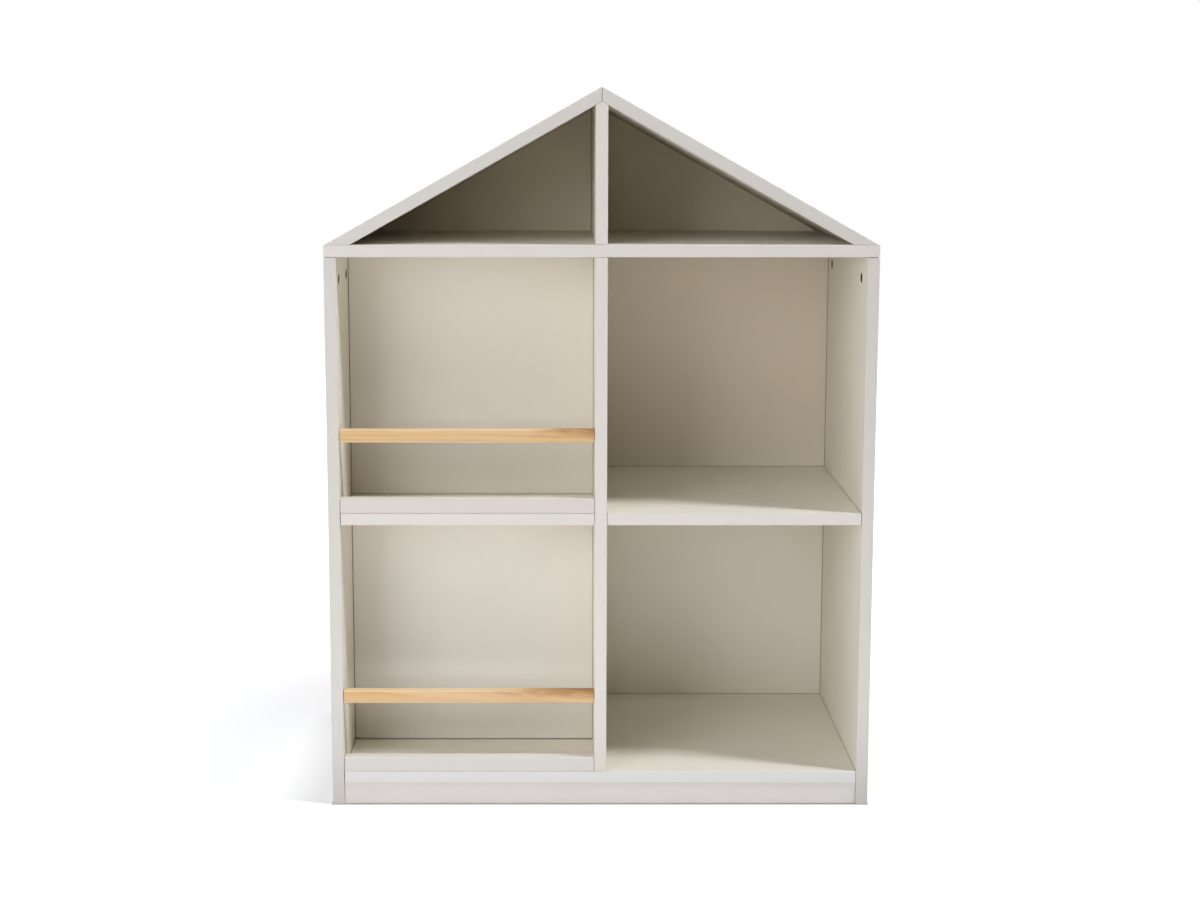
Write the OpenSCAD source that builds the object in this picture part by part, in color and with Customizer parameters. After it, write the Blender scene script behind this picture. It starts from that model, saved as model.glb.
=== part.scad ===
// House-shaped bookcase for a child's room, built from coated boards.
// The right column has two open cubes. The left column has two shallow cells that show
// books by their covers, behind a pine rail and a low lip. A mitred gable roof tops both.
// Millimetres. +X is right, +Y is back, +Z is up. The origin is on the floor, in the
// middle of the bookcase.

/* [House] */
// Width over the outer faces of the side panels
house_w = 810; // [700:1:1000]
// Depth from the front edges to the rear edges
house_d = 380; // [340:1:460]
// Clear height of each cell
cell_h = 380; // [300:1:450]
// Height of the plinths under the base panel
plinth_h = 34; // [30:1:80]
// Distance of the front plinth behind the front edges
plinth_setback = 2; // [0:0.5:20]
// Height of the ridge above the eaves board
roof_rise = 227; // [180:1:300]
// Distance from the end of the eaves board to the tip of the roof
roof_inset = 2; // [0:0.5:8]

/* [Boards] */
// Thickness of the coated boards
board = 18; // [16:0.5:22]
// Thickness of the back sheets
sheet = 3; // [2.5:0.5:5]
// Distance from the rear edges to the back sheets
sheet_inset = 10; // [6:1:20]
// Depth to which a sheet's edge enters its groove
sheet_bite = 5; // [3:0.5:6]
// Room beyond a sheet's edge in its groove
groove_spare = 1; // [0.5:0.5:2]
// Play between a sheet's face and its groove
sheet_play = 0.2; // [0.1:0.05:0.3]
// Height of the book cells' back above the base panel
sheet_lift = 1.2; // [0.5:0.1:2]

/* [Book cells] */
// Clear depth of the book cells
book_d = 140; // [110:1:200]
// Height of the lips
lip_h = 22; // [16:1:60]
// Thickness of the lips
lip_t = 18; // [14:0.5:22]
// Height of the pine rails
rail_h = 19; // [16:0.5:30]
// Thickness of the pine rails
rail_t = 16; // [12:0.5:22]
// Clear height from a cell's floor to its rail
rail_gap = 106; // [70:1:160]
// Distance of the rails behind the front edges
rail_setback = 2; // [0:0.5:6]
// Rounding of the rails' long edges
rail_round = 2; // [0.5:0.5:4]

/* [Cam fittings] */
// Diameter of a cam drum
cam_d = 15; // [12:0.5:20]
// Distance from a board's end to the middle of its cams
cam_set = 34; // [28:1:40]
// Distance from a deep board's edges to its cams
cam_edge = 50; // [40:1:60]
// Distance from a shallow board's edges to its cams
narrow_cam_edge = 32; // [26:1:36]
// Distance from the book cells' back to the cam in front of it
book_cam_back = 22; // [16:1:30]
// Thickness of the drum beyond the middle of the board
cam_below = 3.5; // [3:0.5:4]
// Length of the driver's cross in the drum's face
cross_l = 8; // [6:0.5:10]
// Width of the driver's cross
cross_w = 1.6; // [1:0.1:2.4]
// Depth of the driver's cross
cross_deep = 2.6; // [1.5:0.1:3.5]
// Diameter of a cam bolt's stem
stem_d = 7; // [6:0.5:8]
// Diameter of a cam bolt's head
head_d = 7; // [5:0.5:7]
// Diameter of a cam bolt's neck
neck_d = 4; // [3:0.5:4.5]
// Thickness of a cam bolt's head
head_t = 3; // [2:0.5:4]
// Distance from the drum to the stem
neck_out = 0.5; // [0.2:0.1:2]
// Diameter of a cam bolt's thread
thread_d = 5; // [4:0.5:6]
// Length of a cam bolt's thread
thread_l = 8; // [6:0.5:8.5]
// Play around drums, stems and heads
cam_play = 0.2; // [0.1:0.05:0.3]

/* [Dowels] */
// Diameter of the board dowels
dowel_d = 8; // [6:0.5:10]
// Depth of a dowel in a board's face
face_bite = 8; // [6:0.5:8.5]
// Depth of a dowel in a board's end
end_bite = 22; // [16:0.5:24]
// Distance from a deep board's edges to its dowels
dowel_edge = 92; // [75:1:115]
// Distance from the attic divider's edges to its dowels
attic_dowel_edge = 130; // [105:1:150]
// Distance from a roof board's edges to the dowels in its foot
foot_dowel_edge = 120; // [80:1:150]
// Height of a dowel in the roof board's foot
foot_bite = 9; // [6:0.5:9.5]
// Diameter of the pins that carry the rails
pin_d = 6; // [5:0.5:8]
// Depth of a pin in the end of its rail
pin_bite = 14; // [10:0.5:20]
// Width of the bevel around a dowel's ends
dowel_bevel = 1; // [0.5:0.25:1.5]
// Play around dowels and pins
dowel_play = 0.05; // [0.02:0.01:0.1]
// Room beyond a dowel's end
dowel_spare = 0.5; // [0.2:0.1:0.8]

/* [Screws] */
// Diameter of the screws in lips and roof feet
screw_d = 4; // [3.5:0.1:4.5]
// Diameter of their heads
screw_head = 8; // [6:0.5:9]
// Length of such a screw beyond the board that it goes through
screw_bite = 10; // [8:0.5:10.5]
// Distance between the screws in a lip
lip_pitch = 140; // [100:1:150]
// Distance from a roof board's edges to the screws in its foot
foot_screw_edge = 60; // [45:1:90]
// Diameter of the screws under the centre divider
post_screw_d = 6; // [5:0.5:7]
// Diameter of their heads
post_screw_head = 10; // [9:0.5:12]
// Length of such a screw beyond the base panel
post_screw_bite = 32; // [25:1:45]
// Diameter of the screws in the back sheets
sheet_screw_d = 3; // [2.5:0.1:3.5]
// Length of such a screw beyond its sheet
sheet_screw_bite = 13; // [10:0.5:16]
// Distance between the sheet screws in one cell
sheet_screw_pitch = 200; // [160:1:240]
// Number of sheet screws up the centre divider
post_sheet_screws = 4; // [2:1:6]
// Height of the lower attic sheet screw above the eaves board
attic_screw_z = 60; // [45:1:70]
// Distance between the two attic sheet screws
attic_screw_pitch = 60; // [40:1:70]
// Play around screws
screw_play = 0.1; // [0.05:0.05:0.2]

/* [Hidden] */
$fn = 48;

// Colours
coat = [0.87, 0.85, 0.82];
sheet_coat = [0.84, 0.81, 0.76];
pine = [0.88, 0.72, 0.50];
beech = [0.80, 0.66, 0.47];
zinc = [0.45, 0.45, 0.46];
steel = [0.66, 0.67, 0.69];

// Directions
RIGHT = [1, 0, 0];
LEFT = [-1, 0, 0];
FRONT = [0, -1, 0];
UP = [0, 0, 1];
DOWN = [0, 0, -1];

// How far a cut starts outside the board that it enters
spill = 4;

// Levels
base_z = plinth_h;
base_top = base_z + board;
shelf_z = base_top + cell_h;
shelf_top = shelf_z + board;
eaves_z = shelf_top + cell_h;
eaves_top = eaves_z + board;
ridge_z = eaves_top + roof_rise;

// Planes from side to side
wall_out = house_w / 2;
wall_in = wall_out - board;
wall_mid = wall_out - board / 2;
post_face = board / 2;
cell_mid = (wall_in + post_face) / 2;

// Planes from front to back, and the depth of the boards that end at the main back
front = -house_d / 2;
rear = house_d / 2;
inner_d = house_d - sheet_inset - sheet;
main_y = front + inner_d;
book_y = front + book_d;
groove_deep = sheet_bite + groove_spare;
plinth_y = front + plinth_setback;

// The roof: its slope, its thickness measured plumb, and the length of its level foot
tip_x = wall_out - roof_inset;
slope = atan(roof_rise / tip_x);
plumb_t = board / cos(slope);
foot_l = board / sin(slope);
foot_in = tip_x - foot_l;
foot_mid = (wall_in + foot_in) / 2;

// Rows along the depth of a board
deep_cams = [cam_edge, inner_d - cam_edge];
wall_cams = [cam_edge, house_d - cam_edge];
narrow_cams = [narrow_cam_edge, book_d - narrow_cam_edge];
left_wall_cams = [narrow_cam_edge, book_d - book_cam_back, house_d - cam_edge];
deep_dowels = [dowel_edge, inner_d - dowel_edge];

// Each cam joint is [point on the joint plane, way of the bolt's thread, way the cam faces]
left_wall_joints = [for (d = left_wall_cams) [[-wall_mid, front + d, eaves_z], UP, RIGHT]];
right_wall_joints = [for (d = wall_cams) [[wall_mid, front + d, eaves_z], UP, LEFT]];
post_joints = [for (d = deep_cams) [[0, front + d, eaves_z], UP, RIGHT]];
attic_joints = [for (d = deep_cams) [[0, front + d, eaves_top], DOWN, RIGHT]];
base_joints = end_joints(-wall_in, wall_in, base_z, deep_cams);
cube_joints = end_joints(post_face, wall_in, shelf_z, deep_cams);
book_joints = end_joints(-wall_in, -post_face, shelf_z, narrow_cams);
ridge_left_joints = ridge_joints(1);
ridge_right_joints = ridge_joints(-1);

// The joints at both ends of a level board whose cams face down
function end_joints(x0, x1, z, rows) = [
    for (d = rows) each [
        [[x0, front + d, z + board / 2], LEFT, DOWN],
        [[x1, front + d, z + board / 2], RIGHT, DOWN]
    ]
];

// The joints at the top of a roof board that climbs to the right (1) or to the left (-1)
function ridge_joints(way) = [
    for (d = wall_cams) [
        [0, front + d, ridge_z - plumb_t / 2],
        [way * cos(slope), 0, sin(slope)],
        [way * sin(slope), 0, -cos(slope)]
    ]
];

// Each dowel is [point on the joint plane, way into the face, depth there, depth behind]
left_wall_dowels = [(left_wall_cams[0] + left_wall_cams[1]) / 2, house_d - dowel_edge];
wall_top_pegs = concat(
    [for (d = left_wall_dowels) [[-wall_mid, front + d, eaves_z], UP, face_bite, end_bite]],
    [for (d = [dowel_edge, house_d - dowel_edge])
        [[wall_mid, front + d, eaves_z], UP, face_bite, end_bite]]
);
post_pegs = [
    for (d = deep_dowels) each [
        [[0, front + d, eaves_z], UP, face_bite, end_bite],
        [[0, front + d, base_top], DOWN, face_bite, end_bite]
    ]
];
attic_pegs = [
    for (d = [attic_dowel_edge, inner_d - attic_dowel_edge])
        [[0, front + d, eaves_top], DOWN, face_bite, end_bite]
];
base_pegs = end_pegs(-wall_in, wall_in, base_z, deep_dowels);
cube_pegs = end_pegs(post_face, wall_in, shelf_z, deep_dowels);
book_pegs = end_pegs(-wall_in, -post_face, shelf_z, [book_d / 2]);
foot_pegs = [
    for (side = [-1, 1], d = [foot_dowel_edge, house_d - foot_dowel_edge])
        [[side * foot_mid, front + d, eaves_top], UP, foot_bite, foot_bite]
];
plinth_pegs = [
    for (y = [plinth_y + board / 2, main_y - board / 2]) each [
        for (side = [-1, 1]) each [
            [[side * wall_in, y, plinth_h / 2], side * RIGHT, face_bite, end_bite],
            for (step = [-0.5, 0.5])
                [[side * (cell_mid + step * lip_pitch), y, base_z], UP, face_bite, end_bite]
        ]
    ]
];
pins = [
    for (floor_z = [base_top, shelf_top], end = [[-wall_in, LEFT], [-post_face, RIGHT]])
        [[end[0], rail_y(), rail_z(floor_z)], end[1], face_bite, pin_bite]
];

function rail_y() = front + rail_setback + rail_t / 2;
function rail_z(floor_z) = floor_z + rail_gap + rail_h / 2;

// The dowels at both ends of a level board
function end_pegs(x0, x1, z, rows) = [
    for (d = rows) each [
        [[x0, front + d, z + board / 2], LEFT, face_bite, end_bite],
        [[x1, front + d, z + board / 2], RIGHT, face_bite, end_bite]
    ]
];

// Each screw is [middle of its head's face, way of its point]
post_screws = [for (d = concat(deep_cams, [inner_d / 2])) [[0, front + d, base_z], UP]];
lower_lip_screws = lip_screws_at(base_z);
upper_lip_screws = lip_screws_at(shelf_z);
foot_screws = [
    for (side = [-1, 1], d = [foot_screw_edge, house_d - foot_screw_edge])
        [[side * foot_mid, front + d, eaves_z], UP]
];
main_sheet_screws = concat(
    [for (i = [1 : post_sheet_screws])
        [[0, main_y + sheet, base_top + i * (eaves_z - base_top) / (post_sheet_screws + 1)], FRONT]],
    [for (side = [-1, 1], step = [-0.5, 0.5])
        [[side * cell_mid + step * sheet_screw_pitch, main_y + sheet, base_z + board / 2], FRONT]],
    cell_sheet_screws(cell_mid, main_y)
);
book_sheet_screws = cell_sheet_screws(-cell_mid, book_y);
attic_sheet_screws = [
    for (z = [attic_screw_z, attic_screw_z + attic_screw_pitch])
        [[0, main_y + sheet, eaves_top + z], FRONT]
];

function lip_screws_at(z) = [
    for (step = [-1, 0, 1]) [[-cell_mid + step * lip_pitch, front + lip_t / 2, z], UP]
];

function cell_sheet_screws(x, y) = [
    for (step = [-0.5, 0.5]) [[x + step * sheet_screw_pitch, y + sheet, shelf_z + board / 2], FRONT]
];

// ---------------------------------------------------------------- helpers

// A box between its lowest and highest corners
module block(low, high) {
    translate(low) cube(high - low);
}

// Turns +X into "along" and +Z into "up", and moves the origin to "at"
module set_frame(at, along, up) {
    side = cross(up, along);
    multmatrix([
        [along.x, side.x, up.x, at.x],
        [along.y, side.y, up.y, at.y],
        [along.z, side.z, up.z, at.z],
        [0, 0, 0, 1]
    ]) children();
}

// Turns +Z into "way" and moves the origin to "at"
module aim(at, way) {
    translate(at) rotate([0, acos(way.z), atan2(way.y, way.x)]) children();
}

// ---------------------------------------------------------------- cam fittings

cam_h = board / 2 + cam_below;
neck_l = cam_d / 2 + neck_out;
stem_hole_d = stem_d + 2 * cam_play;
mouth_w = head_d + 2 * cam_play;
cam_face = (board - mouth_w) / 2;

// Holes in the board that holds the cams: one for each drum and one for its bolt
module cam_seats(joints) {
    for (j = joints) set_frame(j[0], j[1], j[2]) {
        translate([-cam_set, 0, board / 2 - cam_h - cam_play])
            cylinder(d = cam_d + 2 * cam_play, h = cam_h + cam_play + spill);
        translate([-cam_set, 0, 0]) rotate([0, 90, 0])
            cylinder(d = stem_hole_d, h = cam_set + spill);
    }
}

// Pilot holes in the board that the bolts are screwed into
module bolt_pilots(joints) {
    for (j = joints) aim(j[0] - spill * j[1], j[1])
        cylinder(d = thread_d + 2 * cam_play, h = spill + thread_l + dowel_spare);
}

// A drum with a driver's cross in its face and a mouth that takes the bolt's head
module cam() {
    difference() {
        translate([0, 0, -cam_h]) cylinder(d = cam_d, h = cam_h);
        for (turn = [0, 90]) rotate(turn)
            block([-cross_l / 2, -cross_w / 2, -cross_deep], [cross_l / 2, cross_w / 2, spill]);
        block([-head_t / 2 - cam_play, -mouth_w / 2, -cam_h - spill], [cam_d, mouth_w / 2, -cam_face]);
    }
}

module cams(joints) {
    color(zinc) for (j = joints) set_frame(j[0], j[1], j[2])
        translate([-cam_set, 0, board / 2]) cam();
}

// Head, neck and stem of a cam bolt, from the cam to the joint plane at the origin
module shank() {
    rotate([0, 90, 0]) rotate_extrude() polygon([
        [0, -cam_set - head_t / 2],
        [head_d / 2, -cam_set - head_t / 2],
        [head_d / 2, -cam_set + head_t / 2],
        [neck_d / 2, -cam_set + head_t / 2],
        [neck_d / 2, -cam_set + neck_l],
        [stem_d / 2, -cam_set + neck_l],
        [stem_d / 2, 0],
        [0, 0]
    ]);
}

module bolts(joints) {
    color(steel) for (j = joints) set_frame(j[0], j[1], j[2]) union() {
        shank();
        rotate([0, 90, 0]) cylinder(d = thread_d, h = thread_l);
    }
}

// ---------------------------------------------------------------- dowels and screws

// Proportions of a screw, as shares of its diameter
slot_w_ratio = 0.2;
slot_floor_ratio = 0.3;
tip_ratio = 0.125;
dome_ratio = 0.65;
dome_edge_ratio = 0.3;
dome_r_ratio = 0.95;

// Round holes that take dowels, half in each of two boards
module peg_holes(pegs, d) {
    for (p = pegs) aim(p[0] - (p[3] + dowel_spare) * p[1], p[1])
        cylinder(d = d + 2 * dowel_play, h = p[2] + p[3] + 2 * dowel_spare);
}

// Dowels with both ends bevelled
module pegs(rows, d) {
    r = d / 2;
    for (p = rows) aim(p[0] - p[3] * p[1], p[1])
        rotate_extrude() polygon([
            [0, 0], [r - dowel_bevel, 0], [r, dowel_bevel],
            [r, p[2] + p[3] - dowel_bevel], [r - dowel_bevel, p[2] + p[3]], [0, p[2] + p[3]]
        ]);
}

// A cross for the driver, as long as the screw is thick, cut from below up to "floor_z"
module driver_cross(d, floor_z) {
    for (turn = [0, 90]) rotate(turn)
        block([-d / 2, -slot_w_ratio * d / 2, -spill], [d / 2, slot_w_ratio * d / 2, floor_z]);
}

// The pointed end of a screw, as the last points of its half outline
function screw_end(d, l) = [[d / 2, l - d / 2], [tip_ratio * d, l], [0, l]];

// A countersunk screw whose head has its face at the origin, and its point up
module wood_screw(d, head, l) {
    difference() {
        rotate_extrude() polygon(concat(
            [[0, 0], [head / 2, 0], [d / 2, (head - d) / 2]],
            screw_end(d, l)
        ));
        driver_cross(d, slot_floor_ratio * d);
    }
}

// A screw with a domed head, which lies on the origin's plane, below it
module dome_screw(d, l) {
    top = dome_ratio * d;
    edge = dome_edge_ratio * d;
    r = dome_r_ratio * d;
    difference() {
        rotate_extrude() polygon(concat(
            [[0, -top], [r - (top - edge), -top], [r, -edge], [r, 0], [d / 2, 0]],
            screw_end(d, l)
        ));
        driver_cross(d, slot_floor_ratio * d - top);
    }
}

// Holes with countersinks, through the board that the heads lie in
module screw_holes(screws, d, head) {
    for (s = screws) aim(s[0], s[1]) {
        cylinder(d = d + 2 * screw_play, h = board + spill);
        cylinder(d1 = head + 2 * screw_play, d2 = d + 2 * screw_play, h = (head - d) / 2);
        translate([0, 0, -spill]) cylinder(d = head + 2 * screw_play, h = spill);
    }
}

// Plain holes for domed screws, through a sheet and into the board behind it
module sheet_holes(screws) {
    for (s = screws) aim(s[0], s[1]) translate([0, 0, -spill])
        cylinder(d = sheet_screw_d + 2 * screw_play, h = spill + sheet + sheet_screw_bite + dowel_spare);
}

// Pilot holes in the board that a screw bites into
module screw_pilots(screws, d, bite) {
    for (s = screws) aim(s[0], s[1])
        cylinder(d = d + 2 * screw_play, h = board + bite + dowel_spare);
}

// ---------------------------------------------------------------- grooves

// A plumb groove in the face of a panel at x, cut towards "way", for a sheet with its front at y
module wall_groove(x, y, way, z0) {
    ends = [x - way * spill, x + way * groove_deep];
    block(
        [min(ends), y - sheet_play, z0 - spill],
        [max(ends), y + sheet + sheet_play, eaves_z + spill]
    );
}

// ---------------------------------------------------------------- carcass

module side_panel(side) {
    difference() {
        block([side > 0 ? wall_in : -wall_out, front, 0], [side > 0 ? wall_out : -wall_in, rear, eaves_z]);
        wall_groove(side * wall_in, main_y, side, 0);
        bolt_pilots(base_joints);
        peg_holes(concat(wall_top_pegs, base_pegs, plinth_pegs), dowel_d);
    }
}

module side_panel_left() {
    color(coat) difference() {
        side_panel(-1);
        wall_groove(-wall_in, book_y, -1, 0);
        cam_seats(left_wall_joints);
        bolt_pilots(book_joints);
        peg_holes(book_pegs, dowel_d);
        peg_holes(pins, pin_d);
    }
}

module side_panel_right() {
    color(coat) difference() {
        side_panel(1);
        cam_seats(right_wall_joints);
        bolt_pilots(cube_joints);
        peg_holes(cube_pegs, dowel_d);
    }
}

module base_panel() {
    color(coat) difference() {
        block([-wall_in, front, base_z], [wall_in, main_y, base_top]);
        cam_seats(base_joints);
        peg_holes(concat(base_pegs, post_pegs, plinth_pegs), dowel_d);
        screw_holes(post_screws, post_screw_d, post_screw_head);
        screw_holes(lower_lip_screws, screw_d, screw_head);
        sheet_holes(main_sheet_screws);
    }
}

module plinth(y) {
    color(coat) difference() {
        block([-wall_in, y, 0], [wall_in, y + board, base_z]);
        peg_holes(plinth_pegs, dowel_d);
    }
}

module front_plinth() {
    plinth(plinth_y);
}

module rear_plinth() {
    plinth(main_y - board);
}

module centre_divider() {
    color(coat) difference() {
        block([-post_face, front, base_top], [post_face, main_y, eaves_z]);
        wall_groove(-post_face, book_y, 1, base_top);
        cam_seats(post_joints);
        bolt_pilots(concat(cube_joints, book_joints));
        peg_holes(concat(post_pegs, cube_pegs, book_pegs), dowel_d);
        peg_holes(pins, pin_d);
        screw_pilots(post_screws, post_screw_d, post_screw_bite);
        sheet_holes(main_sheet_screws);
    }
}

module cube_shelf() {
    color(coat) difference() {
        block([post_face, front, shelf_z], [wall_in, main_y, shelf_top]);
        cam_seats(cube_joints);
        peg_holes(cube_pegs, dowel_d);
        sheet_holes(main_sheet_screws);
    }
}

module book_shelf() {
    color(coat) difference() {
        block([-wall_in, front, shelf_z], [-post_face, book_y, shelf_top]);
        cam_seats(book_joints);
        peg_holes(book_pegs, dowel_d);
        screw_holes(upper_lip_screws, screw_d, screw_head);
        sheet_holes(book_sheet_screws);
    }
}

// ---------------------------------------------------------------- book cells

module lip(floor_z, screws) {
    color(coat) difference() {
        block([-wall_in, front, floor_z], [-post_face, front + lip_t, floor_z + lip_h]);
        screw_pilots(screws, screw_d, screw_bite);
    }
}

module lower_lip() {
    lip(base_top, lower_lip_screws);
}

module upper_lip() {
    lip(shelf_top, upper_lip_screws);
}

// A pine bar with its four long edges rounded, held on a pin at each end
module rail(floor_z) {
    length = wall_in - post_face;
    color(pine) difference() {
        translate([-wall_in, rail_y(), rail_z(floor_z)]) rotate([90, 0, 90])
            linear_extrude(length) {
                square([rail_t, rail_h - 2 * rail_round], center = true);
                square([rail_t - 2 * rail_round, rail_h], center = true);
                for (x = [-1, 1], z = [-1, 1])
                    translate([x * (rail_t / 2 - rail_round), z * (rail_h / 2 - rail_round)])
                        circle(r = rail_round);
            }
        peg_holes(pins, pin_d);
    }
}

module lower_rail() {
    rail(base_top);
}

module upper_rail() {
    rail(shelf_top);
}

// ---------------------------------------------------------------- attic and roof

module eaves_board() {
    color(coat) difference() {
        block([-wall_out, front, eaves_z], [wall_out, rear, eaves_top]);
        block(
            [-wall_in - groove_deep, main_y - sheet_play, eaves_z - spill],
            [wall_in + groove_deep, main_y + sheet + sheet_play, eaves_z + groove_deep]
        );
        bolt_pilots(concat(left_wall_joints, right_wall_joints));
        for (j = post_joints) aim(j[0] - spill * UP, UP)
            cylinder(d = stem_hole_d, h = board + 2 * spill);
        peg_holes(concat(wall_top_pegs, post_pegs, attic_pegs, foot_pegs), dowel_d);
        screw_holes(foot_screws, screw_d, screw_head);
    }
}

// An upright whose top is cut to the underside of both roof boards
module attic_divider() {
    shoulder_z = ridge_z - plumb_t - post_face * tan(slope);
    color(coat) difference() {
        translate([0, main_y, 0]) rotate([90, 0, 0]) linear_extrude(inner_d) polygon([
            [-post_face, eaves_top], [post_face, eaves_top], [post_face, shoulder_z],
            [0, ridge_z - plumb_t], [-post_face, shoulder_z]
        ]);
        cam_seats(attic_joints);
        peg_holes(attic_pegs, dowel_d);
        sheet_holes(attic_sheet_screws);
    }
}

// A roof board, mitred plumb at the ridge and cut level at its foot, drawn for the right
module roof_board(joints) {
    difference() {
        translate([0, rear, 0]) rotate([90, 0, 0]) linear_extrude(house_d) polygon([
            [0, ridge_z], [0, ridge_z - plumb_t], [foot_in, eaves_top], [tip_x, eaves_top]
        ]);
        translate([0, main_y + sheet + sheet_play, 0]) rotate([90, 0, 0])
            linear_extrude(sheet + 2 * sheet_play)
                under_roof(groove_deep, -spill);
        cam_seats(joints);
        peg_holes(foot_pegs, dowel_d);
        screw_pilots(foot_screws, screw_d, screw_bite);
    }
}

module roof_board_left() {
    color(coat) mirror(RIGHT) roof_board(ridge_right_joints);
}

module roof_board_right() {
    color(coat) roof_board(ridge_right_joints);
}

// The triangle under the roof boards, raised into them by "bite", down to "drop" from the eaves board
module under_roof(bite, drop) {
    peak = ridge_z - plumb_t + bite / cos(slope);
    level = eaves_top + drop;
    half = (peak - level) / tan(slope);
    polygon([[-half, level], [half, level], [0, peak]]);
}

// ---------------------------------------------------------------- back sheets

module main_back() {
    color(sheet_coat) difference() {
        block(
            [-wall_in - sheet_bite, main_y, base_z],
            [wall_in + sheet_bite, main_y + sheet, eaves_z + sheet_bite]
        );
        sheet_holes(main_sheet_screws);
    }
}

module book_back() {
    color(sheet_coat) difference() {
        block(
            [-wall_in - sheet_bite, book_y, base_top + sheet_lift],
            [-post_face + sheet_bite, book_y + sheet, eaves_z]
        );
        sheet_holes(book_sheet_screws);
    }
}

module attic_back() {
    color(sheet_coat) difference() {
        translate([0, main_y + sheet, 0]) rotate([90, 0, 0]) linear_extrude(sheet)
            under_roof(sheet_bite, 0);
        sheet_holes(attic_sheet_screws);
    }
}

// ---------------------------------------------------------------- fittings in place

module side_panel_cams() {
    cams(concat(left_wall_joints, right_wall_joints));
}

module divider_cams() {
    cams(post_joints);
}

module attic_divider_cams() {
    cams(attic_joints);
}

module base_cams() {
    cams(base_joints);
}

module cube_shelf_cams() {
    cams(cube_joints);
}

module book_shelf_cams() {
    cams(book_joints);
}

module ridge_cams() {
    cams(concat(ridge_left_joints, ridge_right_joints));
}

module side_panel_bolts() {
    bolts(concat(left_wall_joints, right_wall_joints));
}

// Bolts with a head at each end, through the eaves board into the cams of both dividers
module divider_bolts() {
    color(steel) for (i = [0 : len(post_joints) - 1]) union() {
        set_frame(post_joints[i][0], post_joints[i][1], post_joints[i][2]) shank();
        set_frame(attic_joints[i][0], attic_joints[i][1], attic_joints[i][2]) shank();
        aim(post_joints[i][0], UP) cylinder(d = stem_d, h = board);
    }
}

module base_bolts() {
    bolts(base_joints);
}

module cube_shelf_bolts() {
    bolts(cube_joints);
}

module book_shelf_bolts() {
    bolts(book_joints);
}

// Hinged bolts that draw the two roof boards together at the mitre
module ridge_bolts() {
    color(steel) for (i = [0 : len(ridge_left_joints) - 1]) union() {
        for (j = [ridge_left_joints[i], ridge_right_joints[i]])
            set_frame(j[0], j[1], j[2]) shank();
        translate(ridge_left_joints[i][0]) sphere(d = stem_d);
    }
}

module side_panel_dowels() {
    color(beech) pegs(wall_top_pegs, dowel_d);
}

module divider_dowels() {
    color(beech) pegs(post_pegs, dowel_d);
}

module attic_divider_dowels() {
    color(beech) pegs(attic_pegs, dowel_d);
}

module base_dowels() {
    color(beech) pegs(base_pegs, dowel_d);
}

module cube_shelf_dowels() {
    color(beech) pegs(cube_pegs, dowel_d);
}

module book_shelf_dowels() {
    color(beech) pegs(book_pegs, dowel_d);
}

module plinth_dowels() {
    color(beech) pegs(plinth_pegs, dowel_d);
}

module roof_foot_dowels() {
    color(beech) pegs(foot_pegs, dowel_d);
}

module rail_pins() {
    color(beech) pegs(pins, pin_d);
}

module divider_screws() {
    color(steel) for (s = post_screws) aim(s[0], s[1])
        wood_screw(post_screw_d, post_screw_head, board + post_screw_bite);
}

module lip_screws() {
    color(steel) for (s = concat(lower_lip_screws, upper_lip_screws)) aim(s[0], s[1])
        wood_screw(screw_d, screw_head, board + screw_bite);
}

module roof_foot_screws() {
    color(steel) for (s = foot_screws) aim(s[0], s[1])
        wood_screw(screw_d, screw_head, board + screw_bite);
}

module main_back_screws() {
    sheet_screws(main_sheet_screws);
}

module book_back_screws() {
    sheet_screws(book_sheet_screws);
}

module attic_back_screws() {
    sheet_screws(attic_sheet_screws);
}

module sheet_screws(screws) {
    color(steel) for (s = screws) aim(s[0], s[1])
        dome_screw(sheet_screw_d, sheet + sheet_screw_bite);
}

side_panel_left();
side_panel_right();
base_panel();
front_plinth();
rear_plinth();
centre_divider();
cube_shelf();
book_shelf();
lower_lip();
upper_lip();
lower_rail();
upper_rail();
eaves_board();
attic_divider();
roof_board_left();
roof_board_right();
main_back();
book_back();
attic_back();
side_panel_cams();
divider_cams();
attic_divider_cams();
base_cams();
cube_shelf_cams();
book_shelf_cams();
ridge_cams();
side_panel_bolts();
divider_bolts();
base_bolts();
cube_shelf_bolts();
book_shelf_bolts();
ridge_bolts();
side_panel_dowels();
divider_dowels();
attic_divider_dowels();
base_dowels();
cube_shelf_dowels();
book_shelf_dowels();
plinth_dowels();
roof_foot_dowels();
rail_pins();
divider_screws();
lip_screws();
roof_foot_screws();
main_back_screws();
book_back_screws();
attic_back_screws();
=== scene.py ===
"""A house-shaped bookcase for a child's room: two open cubes, two shallow book cells and an attic.

The sections follow the bookcase as it is put together. Lengths are in metres, +X is right,
+Y is back, +Z is up, and the origin is on the floor under the middle of the bookcase.
"""

import math

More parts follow.
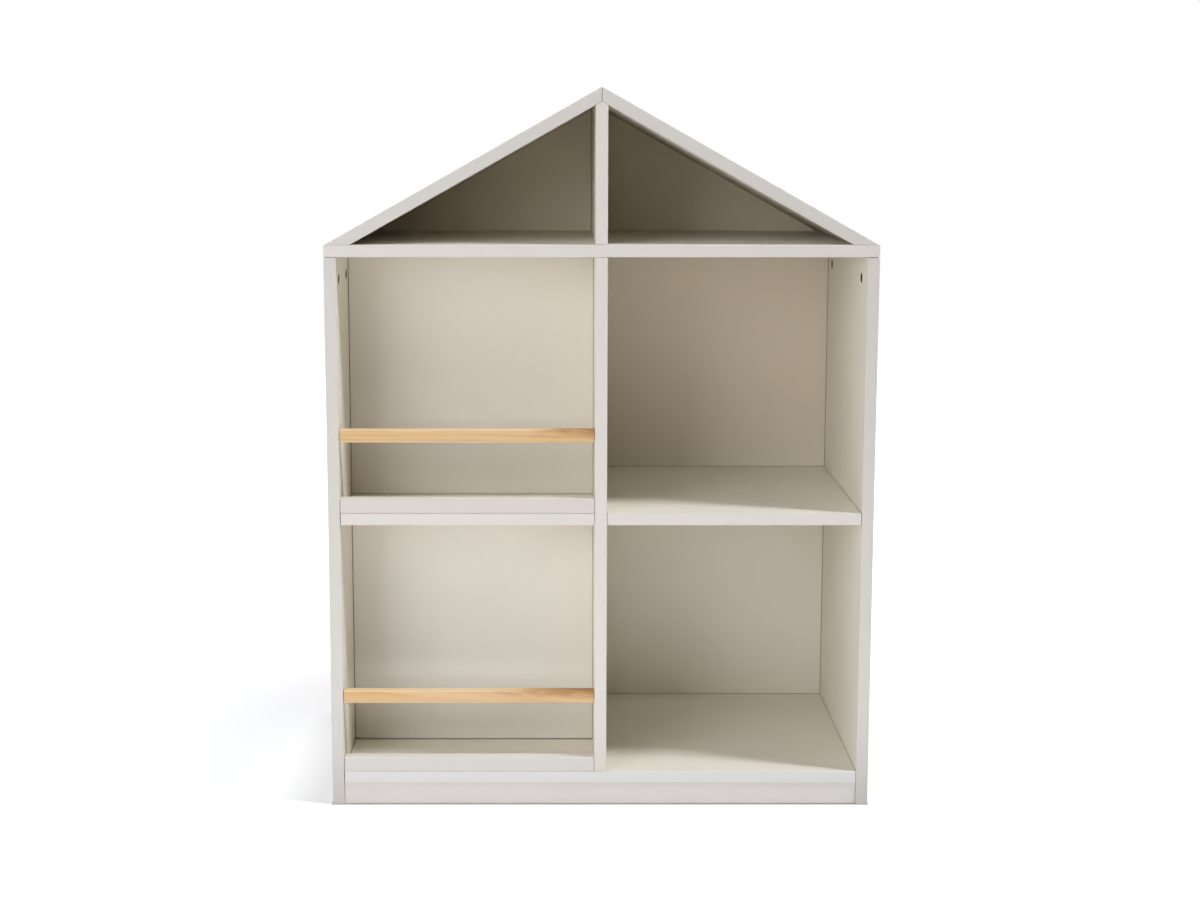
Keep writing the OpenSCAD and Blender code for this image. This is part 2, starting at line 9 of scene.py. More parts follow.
import bmesh
import bpy
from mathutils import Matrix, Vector


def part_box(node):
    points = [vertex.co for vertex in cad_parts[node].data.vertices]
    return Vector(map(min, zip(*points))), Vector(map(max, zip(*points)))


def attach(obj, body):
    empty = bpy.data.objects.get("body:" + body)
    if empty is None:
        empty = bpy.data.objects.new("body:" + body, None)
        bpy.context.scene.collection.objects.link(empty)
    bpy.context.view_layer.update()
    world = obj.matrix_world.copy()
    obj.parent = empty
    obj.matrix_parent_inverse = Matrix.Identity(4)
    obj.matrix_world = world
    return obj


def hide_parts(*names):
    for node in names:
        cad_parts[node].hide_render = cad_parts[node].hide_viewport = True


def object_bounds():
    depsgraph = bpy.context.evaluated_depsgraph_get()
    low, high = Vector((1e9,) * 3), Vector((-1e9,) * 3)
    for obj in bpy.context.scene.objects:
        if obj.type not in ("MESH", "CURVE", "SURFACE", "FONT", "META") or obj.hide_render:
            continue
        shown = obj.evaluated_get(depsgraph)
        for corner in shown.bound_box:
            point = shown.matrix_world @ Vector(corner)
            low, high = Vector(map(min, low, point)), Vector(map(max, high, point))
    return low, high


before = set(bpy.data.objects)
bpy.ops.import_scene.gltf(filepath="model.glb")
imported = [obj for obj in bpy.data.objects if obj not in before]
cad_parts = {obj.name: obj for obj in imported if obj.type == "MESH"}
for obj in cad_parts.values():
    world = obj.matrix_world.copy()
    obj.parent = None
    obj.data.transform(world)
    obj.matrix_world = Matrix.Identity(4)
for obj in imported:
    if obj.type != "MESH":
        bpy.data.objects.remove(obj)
solids_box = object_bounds()

# ------------------------------------------------------------------ camera
# The camera stands in front of the bookcase, a little lower than its ridge, and looks slightly
# down into the cubes. Its shift is small, so that the ridge stays in view from every side.

CAMERA_TILT = 7.424

camera = bpy.data.objects.new("camera", bpy.data.cameras.new("camera"))
bpy.context.scene.collection.objects.link(camera)
camera.location = (-0.0578, -2.6887, 1.005)
camera.rotation_euler = (math.radians(90 - CAMERA_TILT), 0, 0)
camera.data.lens = 51.59
camera.data.sensor_width = 36
camera.data.shift_x = 0.0317
camera.data.shift_y = -0.075
bpy.context.scene.camera = camera
bpy.context.scene.view_settings.view_transform = "Standard"

# ------------------------------------------------------------------ side panels
# The two side panels are chipboard with an off-white satin coat. Their front edges are banded in a
# darker tone that paints shade on them, and the holes drilled for the fittings show the raw
# chipboard.

MERGE = 1e-5
FLAT = math.radians(0.5)
SHARP = math.radians(30)
LEFT, RIGHT = Vector((-1, 0, 0)), Vector((1, 0, 0))
DOWN, UP = Vector((0, 0, -1)), Vector((0, 0, 1))
FRONT_Y, REAR_Y = solids_box[0].y, solids_box[1].y

# The radius of a board's free corners and of those at a joint. The rim of a long groove has a
# share of the first.
CORNER = 0.0010
END_CORNER = 0.0006
RIM_SHARE = 0.6
CORNER_SEGMENTS = 3
LONG_EDGE = 0.03

# The widths of the joints, from the closest to the most open.
FLUSH, TIGHT, OPEN, WIDE = 0.0001, 0.0003, 0.0006, 0.0009

# The thickness of the edge band and of the glue behind it.
BAND = 0.0008
GLUE_LINE = 0.00015

# Tones are levels of red, green and blue, up to 255.
OFF_WHITE = (230, 224, 208)
# The second band is darker, as painted shade on the fronts of the side panels and roof boards.
BAND_TONE, SHADE_PAINTED_BAND = (224, 216, 204), (215, 208, 197)
GLUE = (200, 190, 173)

# Patterns have so many features to the metre. Most of a noise lies within its midrange.
MIDRANGE = (0.3, 0.7)
CLOUDS, SHEEN, RIPPLES, PORES = 7, 45, 160, 1600
CLOUD_LEVELS = 4
SATIN = (0.40, 0.50)
RIPPLE_DEPTH, PORE_DEPTH = 0.0001, 0.00005
CHIPS, DUST = 700, 240
CHIP_DEPTH = 0.0003

SKIN, CORE, REVERSE = 0, 1, 2


def paint(r, g, b):
    """A colour picked on screen, from 0 to 255, as the shader's linear value."""

    def linear(v):
        v /= 255
        return v / 12.92 if v <= 0.04045 else ((v + 0.055) / 1.055) ** 2.4

    return (linear(r), linear(g), linear(b), 1.0)


def add(tree, kind, inputs=None, **settings):
    """A shader node. Each input is a number, a colour or the output of another node."""
    made = tree.nodes.new("ShaderNode" + kind)
    for name, value in settings.items():
        setattr(made, name, value)
    for name, value in (inputs or {}).items():
        if isinstance(value, bpy.types.NodeSocket):
            tree.links.new(value, made.inputs[name])
        else:
            made.inputs[name].default_value = value
    return made


def calc(tree, operation, *values):
    """The result of arithmetic on numbers or outputs."""
    return add(tree, "Math", dict(enumerate(values)), operation=operation).outputs[0]


def vector_calc(tree, operation, *values):
    """The result of arithmetic on vectors, or the length of one."""
    made = add(tree, "VectorMath", dict(enumerate(values)), operation=operation)
    return made.outputs["Value" if operation == "LENGTH" else "Vector"]


def tint(tree, share, first, second):
    """The colour that goes from the first to the second as share goes from 0 to 1."""
    made = add(tree, "Mix", {0: share, 6: first, 7: second}, data_type="RGBA")
    return made.outputs[2]


def span(tree, value, low, high, to_low=0.0, to_high=1.0, smooth=False):
    """Maps low..high of a value to to_low..to_high, and holds it there outside."""
    made = add(
        tree,
        "MapRange",
        {0: value, 1: low, 2: high, 3: to_low, 4: to_high},
        interpolation_type="SMOOTHSTEP" if smooth else "LINEAR",
    )
    return made.outputs[0]


def noise(tree, place, scale, detail=2.0, roughness=0.5):
    """A cloudy pattern with so many features to the metre."""
    made = add(
        tree,
        "TexNoise",
        {"Vector": place, "Scale": scale, "Detail": detail, "Roughness": roughness},
    )
    return made.outputs["Fac"]


def bump(tree, height, strength, distance, normal=None):
    """The normal of a surface with this relief, on top of another normal if there is one."""
    inputs = {"Height": height, "Strength": strength, "Distance": distance}
    if normal:
        inputs["Normal"] = normal
    return add(tree, "Bump", inputs).outputs[0]


def new_material(name):
    """An empty principled material: its tree, its shader and the object coordinates."""
    material = bpy.data.materials.new(name)
    material.use_nodes = True
    tree = material.node_tree
    place = add(tree, "TexCoord").outputs["Object"]
    return material, tree, tree.nodes["Principled BSDF"], place


def make_coat(name, tone, band, upper=None, heights=(0, 1)):
    """A satin coat, with its faint clouding, its pores and the line of the edge band.

    The band's tone is given for each coat; the darker and paler bands paint shade and light on
    the fronts. A large sheet's tone may drift to a darker, warmer upper one between two heights,
    which is painted shade.
    """
    material, tree, shader, place = new_material(name)
    clouds = span(tree, noise(tree, place, CLOUDS, 3), *MIDRANGE)
    face = tint(tree, clouds, paint(*tone), paint(*(level + CLOUD_LEVELS for level in tone)))
    _, y, z = add(tree, "SeparateXYZ", {0: place}).outputs
    if upper:
        face = tint(tree, span(tree, z, *heights, smooth=True), face, paint(*upper))
    banded = span(tree, y, FRONT_Y + BAND, FRONT_Y + BAND + GLUE_LINE, 1.0, 0.0)
    edge = tint(tree, banded, face, paint(*band))
    line = calc(tree, "COMPARE", y, FRONT_Y + BAND + GLUE_LINE / 2, GLUE_LINE)
    colour = tint(tree, line, edge, paint(*GLUE))
    tree.links.new(colour, shader.inputs["Base Color"])
    shader.inputs["Specular IOR Level"].default_value = 0.35
    sheen = span(tree, noise(tree, place, SHEEN), 0.25, 0.75, *SATIN)
    tree.links.new(sheen, shader.inputs["Roughness"])
    ripples = bump(tree, noise(tree, place, RIPPLES, 1), 0.25, RIPPLE_DEPTH)
    pores = bump(tree, noise(tree, place, PORES), 0.3, PORE_DEPTH, ripples)
    tree.links.new(pores, shader.inputs["Normal"])
    return material


def make_chipboard():
    """The raw board, with flat chips of several sizes and tones."""
    material, tree, shader, place = new_material("raw_chipboard")
    chips = add(tree, "TexVoronoi", {"Vector": place, "Scale": CHIPS})
    tone = add(tree, "SeparateColor", {0: chips.outputs["Color"]}).outputs[0]
    chip = tint(tree, tone, paint(150, 118, 80), paint(206, 176, 132))
    dust = span(tree, noise(tree, place, DUST, 3), 0.35, 0.7)
    colour = tint(tree, dust, chip, paint(176, 145, 104))
    tree.links.new(colour, shader.inputs["Base Color"])
    shader.inputs["Roughness"].default_value = 0.9
    relief = bump(tree, chips.outputs["Distance"], 0.6, CHIP_DEPTH)
    tree.links.new(relief, shader.inputs["Normal"])
    return material


coat = make_coat("off_white_coat", OFF_WHITE, BAND_TONE)
shade_band_coat = make_coat("shade_painted_band_coat", OFF_WHITE, SHADE_PAINTED_BAND)
chipboard = make_chipboard()


def bounds_all(face, verts):
    """True if no vertex lies beyond the face, so that it is an outer face of a plain board."""
    normal, at = face.normal, face.verts[0].co
    return all((vert.co - at).dot(normal) < 2 * MERGE for vert in verts)


def add_object(name, bm, materials):
    """An object in the scene from a bmesh, which is used up by it."""
    mesh = bpy.data.meshes.new(name)
    bm.to_mesh(mesh)
    bm.free()
    for material in materials:
        mesh.materials.append(material)
    made = bpy.data.objects.new(name, mesh)
    bpy.context.scene.collection.objects.link(made)
    return made


def board(node, ends=(), skin=None, core=None, reverse=None, shut=False):
    """A board from its solid: its own corners are rounded, and drilled faces show its core.

    The faces that look along one of ends meet another board, with a dark line between them
    as wide as that vector is long, and which closes towards the rear if the joint is shut there.
    The rear face takes the material reverse if there is one.
    """
    bm = bmesh.new()
    bm.from_mesh(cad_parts[node].data)
    bmesh.ops.remove_doubles(bm, verts=bm.verts, dist=MERGE)
    bmesh.ops.dissolve_limit(
        bm, angle_limit=FLAT, use_dissolve_boundaries=False, verts=bm.verts, edges=bm.edges
    )
    verts = list(bm.verts)
    outer = {face: bounds_all(face, verts) for face in bm.faces}
    met = {
        face: next((way for way in ends if outer[face] and face.normal.angle(way) < FLAT), None)
        for face in bm.faces
    }
    weight = bm.edges.layers.float.new("bevel_weight_edge")
    for face in bm.faces:
        face.smooth = True
        face.material_index = SKIN if outer[face] else CORE
        if reverse and outer[face] and face.normal.y > 0.9:
            face.material_index = REVERSE
    for edge in bm.edges:
        if len(edge.link_faces) != 2 or edge.calc_face_angle() < SHARP:
            continue
        edge.smooth = False
        count = sum(outer[face] for face in edge.link_faces)
        if count == 2:
            gaps = [met[face].length for face in edge.link_faces if met[face]]
            edge[weight] = min(END_CORNER, 2 * gaps[0]) / CORNER if gaps else 1.0
        elif count == 1 and edge.calc_length() > LONG_EDGE:
            edge[weight] = RIM_SHARE
    for way in ends:
        for vert in {vert for face in bm.faces if met[face] == way for vert in face.verts}:
            share = (REAR_Y - vert.co.y) / (REAR_Y - FRONT_Y) if shut else 1
            vert.co -= way * share
    materials = (skin or coat, core or chipboard, reverse or chipboard)
    piece = add_object(node + "_dressed", bm, materials)
    corners = piece.modifiers.new("corners", "BEVEL")
    corners.width = CORNER
    corners.segments = CORNER_SEGMENTS
    corners.limit_method = "WEIGHT"
    corners.use_clamp_overlap = False
    corners.loop_slide = False
    corners.harden_normals = True
    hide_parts(node)
    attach(piece, "root")
    return piece


board("side_panel_left", ends=(OPEN * UP,), skin=shade_band_coat)
board("side_panel_right", ends=(WIDE * UP,), skin=shade_band_coat)

# ------------------------------------------------------------------ base panel and plinths
# The base panel is held between the side panels. Two plinths carry it: one stands just behind
# its front edge and one in front of the main back, and both are dowelled to the side panels.

# The paler band of the base panel and plinths, and the plinths' lighter face, are painted light on
# the low fronts.
LIGHT_PAINTED_BAND = (232, 227, 221)

base_coat = make_coat("light_painted_band_coat", OFF_WHITE, LIGHT_PAINTED_BAND)
light_painted_plinth_coat = make_coat("light_painted_plinth_coat", (232, 225, 216), LIGHT_PAINTED_BAND)
board("base_panel", ends=(WIDE * LEFT, OPEN * RIGHT), skin=base_coat)
for node in ("front_plinth", "rear_plinth"):
    board(node, ends=(FLUSH * LEFT, OPEN * RIGHT, FLUSH * UP), skin=light_painted_plinth_coat)

# ------------------------------------------------------------------ divider and shelves
# The centre divider stands on the base panel. The cube shelf is as deep as the divider, and
# the book shelf ends at the back of the shallow cells.

board("centre_divider", ends=(TIGHT * UP, TIGHT * DOWN))
board("cube_shelf", ends=(OPEN * LEFT, WIDE * RIGHT))
board("book_shelf", ends=(WIDE * LEFT, OPEN * RIGHT))

# ------------------------------------------------------------------ lips
# A low lip keeps the books in each shallow cell. It is a strip wrapped in the same foil as the
# boards' edges, and is screwed to the base panel or the shelf from below.

# The lips' foil is a little darker than the boards' coat, and the upper lip's band darker still:
# painted shade on their fronts.
for node, band in (("lower_lip", (222, 216, 207)), ("upper_lip", (218, 208, 198))):
    foil = make_coat(node + "_foil", (226, 220, 210), band)
    board(node, ends=(OPEN * LEFT, OPEN * RIGHT, TIGHT * DOWN), skin=foil)

# ------------------------------------------------------------------ rails
# The two rails are straight pine, planed with rounded edges and lacquered matt. A wooden pin
# in each end holds them between the side panel and the divider.

RAIL_HALF = (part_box("lower_rail")[1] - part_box("lower_rail")[0]) / 2

# A ring's width and how far it wanders, and when in a year the wood darkens and turns pale.
RING_WIDTH = 0.0065
RING_WANDER = 0.005
DARKENS, PALES = (0.15, 0.84), (0.88, 1.0)

# Features to the metre across the rail, and the share of them along it.
WANDERS, YEARS, FIBRES, BLUSHES, STREAKS = 45, 130, 1300, 60, 260
ALONG, FIBRES_ALONG = (0.10, 1.0, 1.0), (0.02, 1.0, 1.0)

# How far the darker streaks reach along the rail and up its face.
STREAK_LENGTH, STREAK_HEIGHT = 0.06, 0.006
DARK_END_HEIGHTS = (-0.006, 0.008)

# How far from a rail's top and underside the painted highlight on its rounded corner starts, and
# where it is full.
EDGE_HIGHLIGHT = (0.002, 0.001)

LACQUER = (0.52, 0.40)
GRAIN_DEPTH = 0.0001


def mapped(tree, place, **settings):
    """The coordinates, moved, turned or stretched."""
    return add(tree, "Mapping", {"Vector": place, **settings}).outputs[0]


def make_pine(name, middle, heart, lean, dark_from, rosy):
    """Pine sawn along X, with growth rings that lean across the rail, and fine fibres.

    The heart lies at a distance from the rail's middle. The wood is darker towards the right end,
    beyond dark_from, and high on the rail, and patches are as rosy as that share says.
    """
    material, tree, shader, place = new_material(name)
    centred = mapped(tree, place, Location=[-c for c in middle])
    x, _, z = add(tree, "SeparateXYZ", {0: centred}).outputs
    along = mapped(tree, centred, Rotation=(0, lean, 0))
    stretched = mapped(tree, along, Scale=ALONG)

    # The growth rings are circles round the heart, and latewood is the dark part of each.
    from_heart = mapped(tree, centred, Rotation=(0, lean, 0), Location=heart)
    parts = add(tree, "SeparateXYZ", {0: from_heart}).outputs
    across = add(tree, "CombineXYZ", {1: parts["Y"], 2: parts["Z"]})
    radius = vector_calc(tree, "LENGTH", across.outputs[0])
    wander = span(tree, noise(tree, stretched, WANDERS), 0, 1, -RING_WANDER, RING_WANDER)
    year = calc(tree, "DIVIDE", calc(tree, "ADD", radius, wander), RING_WIDTH)
    season = calc(tree, "FRACT", year)
    rise = span(tree, season, *DARKENS, smooth=True)
    fall = span(tree, season, *PALES, 1.0, 0.0, smooth=True)
    strength = span(tree, noise(tree, stretched, YEARS), *MIDRANGE, 0.2, 0.9)
    latewood = calc(tree, "MULTIPLY", calc(tree, "MULTIPLY", rise, fall), strength)

    # The fibres and the rosy patches follow the rail.
    fibre = noise(tree, mapped(tree, along, Scale=FIBRES_ALONG), FIBRES, 3, 0.6)
    early = tint(tree, span(tree, fibre, *MIDRANGE), paint(216, 177, 116), paint(224, 189, 132))
    wood = tint(tree, latewood, early, paint(200, 150, 88))
    blush = span(tree, noise(tree, stretched, BLUSHES, 1), 0.42, 0.62, 0.0, rosy)
    wood = tint(tree, blush, wood, paint(226, 188, 148))

    # The darker part starts in streaks, and is darkest at the end and high on the rail.
    streak = span(tree, noise(tree, stretched, STREAKS), *MIDRANGE, -0.5, 0.5)
    end = calc(tree, "MULTIPLY_ADD", streak, STREAK_LENGTH, x)
    reach = span(tree, end, dark_from, RAIL_HALF.x)
    height = span(tree, calc(tree, "MULTIPLY_ADD", streak, STREAK_HEIGHT, z), *DARK_END_HEIGHTS)
    dark = calc(tree, "MULTIPLY", reach, height)
    wood = tint(tree, span(tree, dark, 0.0, 0.8), wood, paint(176, 126, 72))

    # The rounded corners take a painted highlight, but not where the rail is darker.
    corner = (RAIL_HALF.z - inset for inset in EDGE_HIGHLIGHT)
    edge_highlight = span(tree, calc(tree, "ABSOLUTE", z), *corner, 0, 0.6)
    bare = calc(tree, "MULTIPLY", edge_highlight, span(tree, reach, 0.0, 0.5, 1.0, 0.0))
    wood = tint(tree, bare, wood, paint(240, 213, 174))

    tree.links.new(wood, shader.inputs["Base Color"])
    tree.links.new(span(tree, latewood, 0, 1, *LACQUER), shader.inputs["Roughness"])
    grain = bump(tree, calc(tree, "ADD", latewood, fibre), 0.5, GRAIN_DEPTH)
    tree.links.new(grain, shader.inputs["Normal"])
    return material


for node, heart, lean, dark_from, rosy in (
    ("lower_rail", (0, 0.030, 0.012), -0.040, 0.02, 0.55),
    ("upper_rail", (0, 0.022, -0.020), -0.012, 0.09, 0.35),
):
    low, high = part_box(node)
    pine = make_pine(node + "_pine", (low + high) / 2, heart, lean, dark_from, rosy)
    rail = board(node, ends=(OPEN * LEFT, OPEN * RIGHT), skin=pine, core=pine)

# ------------------------------------------------------------------ eaves board
# The eaves board lies on both side panels and the divider, and is the floor of the attic.
# Its ends are banded like its front edge.

board("eaves_board")

# ------------------------------------------------------------------ attic and roof
# The attic divider is sawn to a point under the ridge. The roof boards meet in a plumb mitre,
# and their feet are cut level to stand on the eaves board.

board("attic_divider", ends=(TIGHT * DOWN,))
# The roof boards take the darker band, which paints shade on their fronts.
board("roof_board_left", ends=(TIGHT * RIGHT, FLUSH * DOWN), skin=shade_band_coat, shut=True)
board("roof_board_right", ends=(TIGHT * LEFT, FLUSH * DOWN), skin=shade_band_coat, shut=True)

# ------------------------------------------------------------------ back sheets
# The three backs are thin fibreboard, coated off-white on the face that shows inside and left
# brown on the other. They sit in grooves, and small screws hold them to the boards.

FELT, FELT_CLOUDS = 900, 10
FELT_DEPTH = 0.0001

# How far a sheet is set back where it lies in a groove, and how wide the step is.
REBATE = 0.0008
STEP = 0.00005

# The heights between which a sheet's tone drifts to its darker, warmer upper tone, which is
# painted shade in the upper cells.
MAIN_SHADE_HEIGHTS, BOOK_SHADE_HEIGHTS = (0.25, 0.60), (0.40, 0.48)


def make_fibreboard():
    """Bare fibreboard, with fine felted fibres."""
    material, tree, shader, place = new_material("bare_fibreboard")
    felt = noise(tree, place, FELT, 4, 0.65)
    clouds = span(tree, noise(tree, place, FELT_CLOUDS, 3), *MIDRANGE)
    tone = tint(tree, clouds, paint(181, 148, 108), paint(194, 163, 122))
    colour = tint(tree, span(tree, felt, 0.3, 0.75), tone, paint(160, 126, 88))
    tree.links.new(colour, shader.inputs["Base Color"])
    shader.inputs["Roughness"].default_value = 0.8
    tree.links.new(bump(tree, felt, 0.4, FELT_DEPTH), shader.inputs["Normal"])
    return material


def mark_sharp(bm):
    """Marks the edges where smooth shading stops."""
    for edge in bm.edges:
        if len(edge.link_faces) == 2 and edge.calc_face_angle() > SHARP:
            edge.smooth = False


def rebate(sheet, strips):
    """Sets the sheet's face back along strips, where it lies in a groove or behind a board.

    Each strip is a direction across it, and its two limits along that direction.
    """
    bm = bmesh.new()
    bm.from_mesh(sheet.data)
    face_y = min(vert.co.y for vert in bm.verts)
    for way, low, high in strips:
        for at in (low, low + STEP, high - STEP, high):
            if math.isfinite(at):
                parts = bm.verts[:] + bm.edges[:] + bm.faces[:]
                bmesh.ops.bisect_plane(
                    bm, geom=parts, dist=MERGE / 10, plane_co=at * way, plane_no=way
                )
    sunk = {
        vert
        for vert in bm.verts
        if vert.co.y < face_y + MERGE
        and any(low + STEP / 2 < vert.co.dot(way) < high - STEP / 2 for way, low, high in strips)
    }
    for face in bm.faces:
        if sunk.issuperset(face.verts):
            face.material_index = CORE
    bmesh.ops.translate(bm, verts=list(sunk), vec=(0, REBATE, 0))
    mark_sharp(bm)
    bm.to_mesh(sheet.data)
    bm.free()


# The sheets' upper tones and the attic sheet's warm tone are painted shade for the shaded cells
# and the attic.
main_face = make_coat(
    "main_sheet", (235, 229, 213), BAND_TONE, upper=(227, 215, 193), heights=MAIN_SHADE_HEIGHTS
)
book_face = make_coat(
    "book_sheet", (229, 223, 209), BAND_TONE, upper=(228, 220, 203), heights=BOOK_SHADE_HEIGHTS
)
shaded_attic_face = make_coat("attic_sheet_warm_shade", (236, 222, 196), BAND_TONE)
fibreboard = make_fibreboard()

wall_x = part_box("side_panel_right")[0].x - REBATE
post_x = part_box("centre_divider")[1].x + REBATE
floor_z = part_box("base_panel")[1].z + REBATE / 2
shelf_low, shelf_high = (corner.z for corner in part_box("cube_shelf"))
ceiling_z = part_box("eaves_board")[0].z - REBATE
attic_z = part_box("eaves_board")[1].z + REBATE
roof_low, roof_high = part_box("roof_board_right")
slope = math.atan2(roof_high.z - roof_low.z, roof_high.x)
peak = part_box("attic_divider")[1].z
roof_strips = []
for side in (LEFT, RIGHT):
    out = side * math.sin(slope) + UP * math.cos(slope)
    roof_strips.append((out, peak * out.z - REBATE, math.inf))
post_strip = (RIGHT, -post_x, post_x)
sheets = {
    "main_back": (main_face, [
        (RIGHT, wall_x, math.inf), post_strip, (UP, shelf_low - REBATE, shelf_high + REBATE / 2),
        (UP, -math.inf, floor_z), (UP, ceiling_z, math.inf),
    ]),
    "book_back": (book_face, [
        (RIGHT, -math.inf, REBATE / 2 - wall_x), (RIGHT, -post_x, math.inf),
        (UP, shelf_low - REBATE, shelf_high + REBATE), (UP, ceiling_z, math.inf),
    ]),
    "attic_back": (shaded_attic_face, [post_strip, (UP, -math.inf, attic_z), *roof_strips]),
}
for node, (face, strips) in sheets.items():
    sheet = board(node, skin=face, core=fibreboard, reverse=fibreboard)
    rebate(sheet, strips)

# ------------------------------------------------------------------ fittings
# Zinc cams and steel bolts draw the boards together, beech dowels keep them in line, and
# screws hold the lips, the roof's feet, the divider's foot and the backs.

PATCHES, GRIT, FLECKS = 350, 2500, 1400
GRIT_DEPTH = 0.00005

# How dark a metal's patches are beside the rest, and how far its roughness varies.
DARKER, DULLER = 0.75, 0.06

FITTING_CORNER = 0.00015
FITTING_SHARP = math.radians(60)


def make_metal(name, colour, roughness, glance=1.0):
    """Zinc or plated steel, with a patchy dull sheen, as bright as glance along the surface."""
    material, tree, shader, place = new_material(name)
    shader.inputs["Metallic"].default_value = 1.0
    shader.inputs["Specular Tint"].default_value = (glance, glance, glance, 1.0)
    patches = span(tree, noise(tree, place, PATCHES, 3), *MIDRANGE)
    darker = (*(DARKER * c for c in colour[:3]), 1.0)
    tree.links.new(tint(tree, patches, darker, colour), shader.inputs["Base Color"])
    dullness = span(tree, patches, 0, 1, roughness - DULLER, roughness + DULLER)
    tree.links.new(dullness, shader.inputs["Roughness"])
    grit = bump(tree, noise(tree, place, GRIT), 0.2, GRIT_DEPTH)
    tree.links.new(grit, shader.inputs["Normal"])
    return material


def make_beech():
    """Turned beech, pale with short dark flecks."""
    material, tree, shader, place = new_material("beech")
    flecks = span(tree, noise(tree, place, FLECKS), 0.55, 0.75)
    colour = tint(tree, flecks, paint(222, 190, 146), paint(176, 134, 92))
    tree.links.new(colour, shader.inputs["Base Color"])
    shader.inputs["Roughness"].default_value = 0.6
    return material


# The cams' metal is far darker than new die-cast metal, and its grazing reflection dim: painted
# shade from the drilled holes that hold them.
zinc = make_metal("zinc", paint(80, 80, 82), 0.62, glance=0.1)
steel = make_metal("plated_steel", paint(196, 198, 204), 0.32)
beech = make_beech()


def fitting(node, metal):
    """A group of cams or screws from their solids, with smooth walls and eased edges."""
    bm = bmesh.new()
    bm.from_mesh(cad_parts[node].data)
    bmesh.ops.remove_doubles(bm, verts=bm.verts, dist=MERGE)
    for face in bm.faces:
        face.smooth = True
    mark_sharp(bm)
    piece = add_object(node + "_dressed", bm, [metal])
    eased = piece.modifiers.new("eased", "BEVEL")
    eased.width = FITTING_CORNER
    eased.segments = 1
    eased.limit_method = "ANGLE"
    eased.angle_limit = FITTING_SHARP
    eased.use_clamp_overlap = True
    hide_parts(node)
    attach(piece, "root")


for node in sorted(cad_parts):
    if node.endswith("_cams"):
        fitting(node, zinc)
    elif node.endswith("_screws"):
        fitting(node, steel)
    elif node.endswith("_bolts"):
        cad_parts[node].material_slots[0].material = steel
    elif node.endswith(("_dowels", "_pins")):
        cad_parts[node].material_slots[0].material = beech

# ------------------------------------------------------------------ floor and light
# A plain pale floor, a window-like key light high on the right, large soft fills in front and
# overhead, and a low glow from the floor. A light behind serves the views from the back.

FLOOR_HALF = 6

# The dark line where the bookcase meets the floor is a painted shadow. Round it the glow dips,
# more to the left, so that the real shadow shows, with some painted shade, and further off the
# floor is white: each is a range of distance, and its glow a range of strength.
CONTACT_SHADE = (0.0, 0.0028)
SHADE, SHADE_GLOW = (0.0, 0.07), (0.28, 0.5)
FAR, FAR_GLOW = (0.6, 1.6), (0.0, 0.5)
SHADE_SHIFT = 0.02

DAYLIGHT = (0.95, 0.98, 1.07)
WORLD_LIGHT = 0.02
MIDDLE = (0, 0, 0.5)


def seen_rays(tree):
    """One for what the camera, a reflection or a clear part sees, and zero for other light."""
    paths = add(tree, "LightPath").outputs
    gloss = calc(tree, "MAXIMUM", paths["Is Glossy Ray"], paths["Is Transmission Ray"])
    return calc(tree, "MAXIMUM", paths["Is Camera Ray"], gloss)


def beyond(tree, place, shift):
    """How far a place on the floor lies outside the footprint, once moved along x by shift."""
    moved = vector_calc(tree, "ADD", place, (shift, 0, 0))
    past = vector_calc(
        tree, "SUBTRACT", vector_calc(tree, "ABSOLUTE", moved), (*solids_box[1].xy, 0)
    )
    return vector_calc(tree, "LENGTH", vector_calc(tree, "MAXIMUM", past, (0, 0, 0)))


floor_material = bpy.data.materials.new("pale_floor")
floor_material.use_nodes = True
tree = floor_material.node_tree
tree.nodes.clear()
place = add(tree, "TexCoord").outputs["Object"]
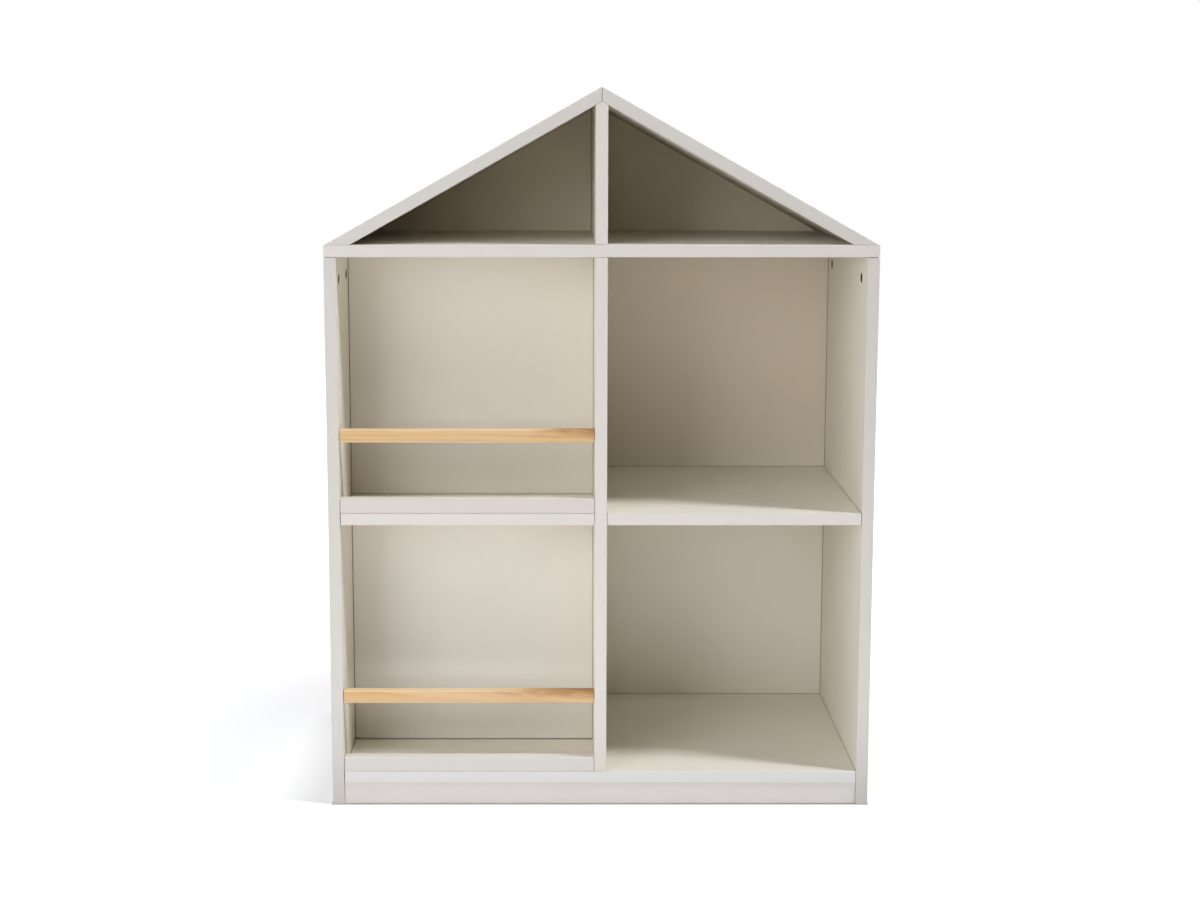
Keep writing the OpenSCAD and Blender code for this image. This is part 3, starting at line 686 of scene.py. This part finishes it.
# Painted shadow line: right next to the footprint the floor is darker and has no glow.
contact_shade = span(tree, beyond(tree, place, 0), *CONTACT_SHADE)
colour = tint(tree, contact_shade, paint(170, 168, 164), paint(236, 235, 232))
diffuse = add(tree, "BsdfDiffuse", {"Color": colour}).outputs[0]
near = span(tree, beyond(tree, place, SHADE_SHIFT), *SHADE, *SHADE_GLOW)
far = span(tree, vector_calc(tree, "LENGTH", place), *FAR, *FAR_GLOW)
strength = calc(tree, "MULTIPLY", calc(tree, "ADD", near, far), contact_shade)
glow = add(tree, "Emission", {"Color": (1, 1, 1, 1), "Strength": strength}).outputs[0]
lifted = add(tree, "AddShader", {0: diffuse, 1: glow}).outputs[0]
mixed = add(tree, "MixShader", {0: seen_rays(tree), 1: diffuse, 2: lifted}).outputs[0]
add(tree, "OutputMaterial", {"Surface": mixed})
floor_bm = bmesh.new()
bmesh.ops.create_grid(floor_bm, x_segments=1, y_segments=1, size=FLOOR_HALF)
floor = add_object("floor", floor_bm, [floor_material])

world = bpy.data.worlds.new("studio")
bpy.context.scene.world = world
world.use_nodes = True
tree = world.node_tree
tree.nodes.clear()
dim = add(tree, "Background", {"Color": (1, 1, 1, 1), "Strength": WORLD_LIGHT}).outputs[0]
white = add(tree, "Background", {"Color": (1, 1, 1, 1), "Strength": 1.0}).outputs[0]
mixed = add(tree, "MixShader", {0: seen_rays(tree), 1: dim, 2: white}).outputs[0]
add(tree, "OutputWorld", {"Surface": mixed})


def lamp(name, place, size, power, target=MIDDLE):
    """A soft light, as wide and high as size says, that faces the target."""
    light = bpy.data.lights.new(name, "AREA")
    light.shape = "RECTANGLE"
    light.size, light.size_y = size
    light.energy = power
    light.color = DAYLIGHT
    made = bpy.data.objects.new(name, light)
    made.location = place
    made.rotation_euler = (Vector(target) - Vector(place)).to_track_quat("-Z", "Y").to_euler()
    made.visible_camera = False
    bpy.context.scene.collection.objects.link(made)


# Each lamp has a name, a place, a size and a power in watts. The bounce lights straight up.
lamp("key_light", (3.1, -0.98, 4.15), (0.5, 0.5), 142)
lamp("left_fill", (-2.4, -3.4, 1.8), (2.4, 2.4), 40)
lamp("near_fill", (-1.9, -2.6, 1.3), (1.8, 1.8), 9)
lamp("middle_fill", (-1.1, -3.9, 1.2), (2.0, 2.0), 9)
lamp("low_fill", (-3.0, -1.6, 0.9), (1.6, 1.6), 10)
lamp("overhead_light", (-0.3, -1.0, 3.8), (2.4, 2.4), 8)
lamp("overhead_left", (-2.4, -2.0, 3.4), (2.0, 2.0), 22)
lamp("overhead_front", (0.3, -0.55, 4.0), (1.4, 0.4), 10)
lamp("floor_bounce", (0.1, -0.85, 0.01), (2.0, 1.1), 4.7, (0.1, -0.85, 1.0))
lamp("rear_light", (-0.8, 3.6, 2.4), (2.4, 2.4), 60)
